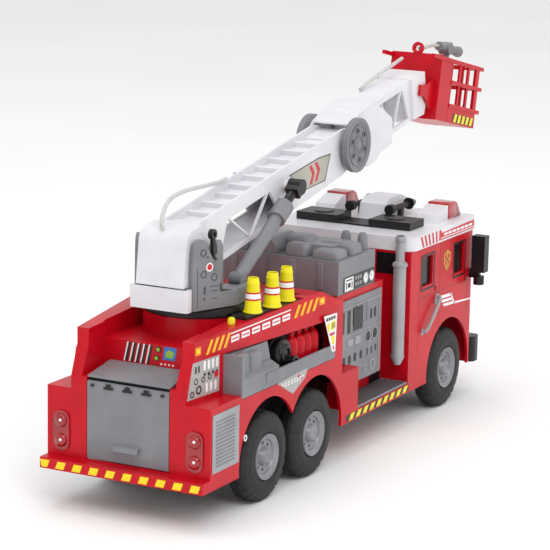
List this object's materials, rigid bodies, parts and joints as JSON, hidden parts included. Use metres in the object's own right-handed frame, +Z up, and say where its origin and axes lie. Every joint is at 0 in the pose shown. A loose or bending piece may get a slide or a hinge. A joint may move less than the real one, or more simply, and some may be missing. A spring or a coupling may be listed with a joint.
{
  "type": "toy fire engine",
  "caption": "Toy fire engine with a turning boom raised by rams, a sliding ladder, a tilting rescue basket with water cannon, side lockers, cones and free-rolling wheels.",
  "frame": {"origin": "centre of the bounding box at ground level, under the truck", "axes": "+X towards the cab, +Y to the truck's left side, +Z up"},
  "size_m": [0.62, 0.18, 0.3245],
  "materials": {
    "red_body": "smooth glossy moulded ABS",
    "red_cab": "smooth glossy moulded ABS",
    "red_basket": "smooth glossy moulded ABS",
    "red_lens": "glossy translucent red lens",
    "grey_plastic": "satin grey moulded plastic",
    "grey_turntable": "satin grey moulded plastic",
    "white_boom": "smooth glossy white plastic",
    "white_roof": "smooth glossy white plastic",
    "black_plastic": "satin black moulded plastic",
    "black_kit": "satin black moulded plastic with red bottles",
    "yellow_plastic": "yellow moulded plastic",
    "tyre_rubber": "dull black moulded tyre",
    "rim_silver": "silver grey plastic rims on a steel axle",
    "stack_silver": "silver grey plastic",
    "window_tint": "dark tinted clear plastic",
    "hose_clear": "soft cloudy clear tubing"
  },
  "bodies": {
    "truck": {"body_shell": "red_body", "chassis_frame": "black_plastic", "battery_box": "grey_plastic", "rear_shelf": "grey_plastic", "bay_liner_right": "grey_plastic", "bay_kit_right": "black_kit", "bay_liner_left": "grey_plastic", "bay_kit_left": "black_kit", "superstructure": "grey_plastic", "pump_panel_right": "grey_plastic", "step_plate_right": "grey_plastic", "exhaust_stack_right": "stack_silver", "pump_panel_left": "grey_plastic", "step_plate_left": "grey_plastic", "exhaust_stack_left": "stack_silver", "cab_shell": "red_cab", "cab_glazing": "window_tint", "cab_roof": "white_roof", "roof_hatches": "black_plastic", "beacon_right": "red_lens", "air_horn_right": "black_plastic", "mirror_right": "black_plastic", "beacon_left": "red_lens", "air_horn_left": "black_plastic", "mirror_left": "black_plastic", "front_bumper": "black_plastic", "tail_light_right": "red_lens", "tail_light_left": "red_lens", "cone_tray": "black_plastic"},
    "hatch": {"rear_hatch": "grey_plastic"},
    "rear_axle": {"wheel_set_rear": "rim_silver", "tyre_rear_right": "tyre_rubber", "tyre_rear_left": "tyre_rubber"},
    "middle_axle": {"wheel_set_middle": "rim_silver", "tyre_middle_right": "tyre_rubber", "tyre_middle_left": "tyre_rubber"},
    "front_axle": {"wheel_set_front": "rim_silver", "tyre_front_right": "tyre_rubber", "tyre_front_left": "tyre_rubber"},
    "cone_1": {"traffic_cone_1": "yellow_plastic"},
    "cone_2": {"traffic_cone_2": "yellow_plastic"},
    "cone_3": {"traffic_cone_3": "yellow_plastic"},
    "button": {"sound_button": "yellow_plastic"},
    "turntable": {"turntable_ring": "black_plastic", "turntable_base": "grey_turntable", "turntable_cover": "white_boom"},
    "lever": {"release_lever": "black_plastic"},
    "boom": {"lower_boom": "white_boom", "boom_hose": "hose_clear", "knee_wheels": "grey_turntable"},
    "arm": {"upper_sleeve": "white_boom"},
    "ladder": {"inner_ladder": "white_boom", "ladder_hose": "hose_clear"},
    "basket": {"rescue_basket": "red_basket", "basket_hose": "hose_clear"},
    "cannon": {"water_cannon": "grey_turntable"},
    "ram_barrel_r": {"ram_barrel_right": "grey_turntable"},
    "ram_rod_r": {"ram_rod_right": "black_plastic"},
    "ram_barrel_l": {"ram_barrel_left": "grey_turntable"},
    "ram_rod_l": {"ram_rod_left": "black_plastic"}
  },
  "joints": [
    {"name": "turntable_turn", "type": "hinge", "parent": "truck", "child": "turntable", "pos_m": [-0.1916, 0, 0.15], "axis": [0, 0, 1], "range_deg": [-160, 12]},
    {"name": "boom_lift", "type": "hinge", "parent": "turntable", "child": "boom", "pos_m": [-0.2255, 0, 0.1898], "axis": [0, -1, 0], "range_deg": [-3, 35]},
    {"name": "arm_knee", "type": "hinge", "parent": "boom", "child": "arm", "pos_m": [0.04194, 0, 0.2506], "axis": [0, -1, 0], "range_deg": [-10, 10]},
    {"name": "ladder_slide", "type": "slide", "parent": "arm", "child": "ladder", "axis": [0.9839, 0, 0.1788], "range_m": [0, 0.03]},
    {"name": "basket_tilt", "type": "hinge", "parent": "ladder", "child": "basket", "pos_m": [0.18237, 0, 0.28323], "axis": [0, -1, 0], "range_deg": [-15, 12]},
    {"name": "cannon_swivel", "type": "hinge", "parent": "basket", "child": "cannon", "pos_m": [0.27805, 0, 0.30052], "axis": [0.2079, 0, 0.9781], "range_deg": [-35, 35]},
    {"name": "ram_right_swing", "type": "hinge", "parent": "turntable", "child": "ram_barrel_r", "pos_m": [-0.1754, -0.0265, 0.17], "axis": [0, -1, 0], "range_deg": [-4, 41]},
    {"name": "ram_right_extend", "type": "slide", "parent": "ram_barrel_r", "child": "ram_rod_r", "axis": [0.8508, 0, 0.5256], "range_m": [-0.003, 0.031]},
    {"name": "ram_left_swing", "type": "hinge", "parent": "turntable", "child": "ram_barrel_l", "pos_m": [-0.1754, 0.0265, 0.17], "axis": [0, -1, 0], "range_deg": [-4, 41]},
    {"name": "ram_left_extend", "type": "slide", "parent": "ram_barrel_l", "child": "ram_rod_l", "axis": [0.8508, 0, 0.5256], "range_m": [-0.003, 0.031]},
    {"name": "lever_swing", "type": "hinge", "parent": "turntable", "child": "lever", "pos_m": [-0.2156, -0.0274, 0.196], "axis": [0, -1, 0], "range_deg": [-20, 20]},
    {"name": "hatch_swing", "type": "hinge", "parent": "truck", "child": "hatch", "pos_m": [-0.2976, 0, 0.1033], "axis": [0, 1, 0], "range_deg": [0, 75]},
    {"name": "button_press", "type": "slide", "parent": "truck", "child": "button", "axis": [0, 0, -1], "range_m": [0, 0.0015], "stiffness_N_per_m": 150},
    {"name": "rear_axle_spin", "type": "hinge", "parent": "truck", "child": "rear_axle", "pos_m": [-0.2059, 0, 0.0366], "axis": [0, 1, 0], "continuous": true},
    {"name": "middle_axle_spin", "type": "hinge", "parent": "truck", "child": "middle_axle", "pos_m": [-0.1256, 0, 0.0366], "axis": [0, 1, 0], "continuous": true},
    {"name": "front_axle_spin", "type": "hinge", "parent": "truck", "child": "front_axle", "pos_m": [0.1388, 0, 0.0366], "axis": [0, 1, 0], "continuous": true},
    {"name": "cone_1_lift", "type": "slide", "parent": "truck", "child": "cone_1", "axis": [0, 0, 1], "range_m": [0, 0.04]},
    {"name": "cone_2_lift", "type": "slide", "parent": "truck", "child": "cone_2", "axis": [0, 0, 1], "range_m": [0, 0.04]},
    {"name": "cone_3_lift", "type": "slide", "parent": "truck", "child": "cone_3", "axis": [0, 0, 1], "range_m": [0, 0.04]}
  ],
  "couplings": [
    {"joint": "ram_right_swing", "follows": "boom_lift", "ratio": 1.15},
    {"joint": "ram_right_extend", "follows": "boom_lift", "m_per_rad": 0.0493},
    {"joint": "ram_left_swing", "follows": "boom_lift", "ratio": 1.15},
    {"joint": "ram_left_extend", "follows": "boom_lift", "m_per_rad": 0.0493}
  ]
}
